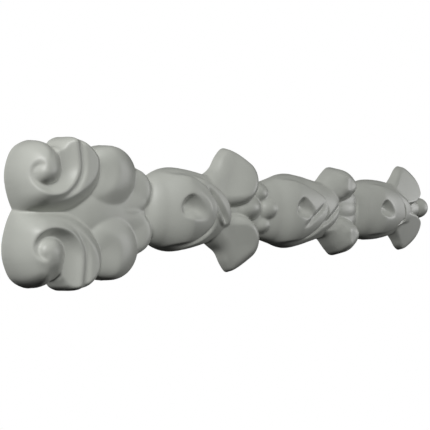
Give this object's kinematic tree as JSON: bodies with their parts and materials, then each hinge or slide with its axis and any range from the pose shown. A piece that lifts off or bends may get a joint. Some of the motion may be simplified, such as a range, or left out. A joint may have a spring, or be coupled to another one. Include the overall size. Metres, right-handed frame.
{
  "type": "drop onlay",
  "caption": "Moulded drop onlay in low relief: paired scrolls, leaves, and a run of closed buds with flared petals, ending in a ball.",
  "frame": {"origin": "middle of the flat back face, on the long axis, half way between the scroll end and the tip ball", "axes": "+X along the drop from the scroll end to the tip ball, -Y out of the back towards the room, +Z across it; hung as a drop it is turned a quarter turn about Y so that the scroll end is at the top"},
  "size_m": [0.3466, 0.0232, 0.0727],
  "materials": {
    "primer": "warm grey factory primer, satin, over moulded polyurethane"
  },
  "bodies": {
    "root": {"onlay": "primer"}
  },
  "joints": []
}
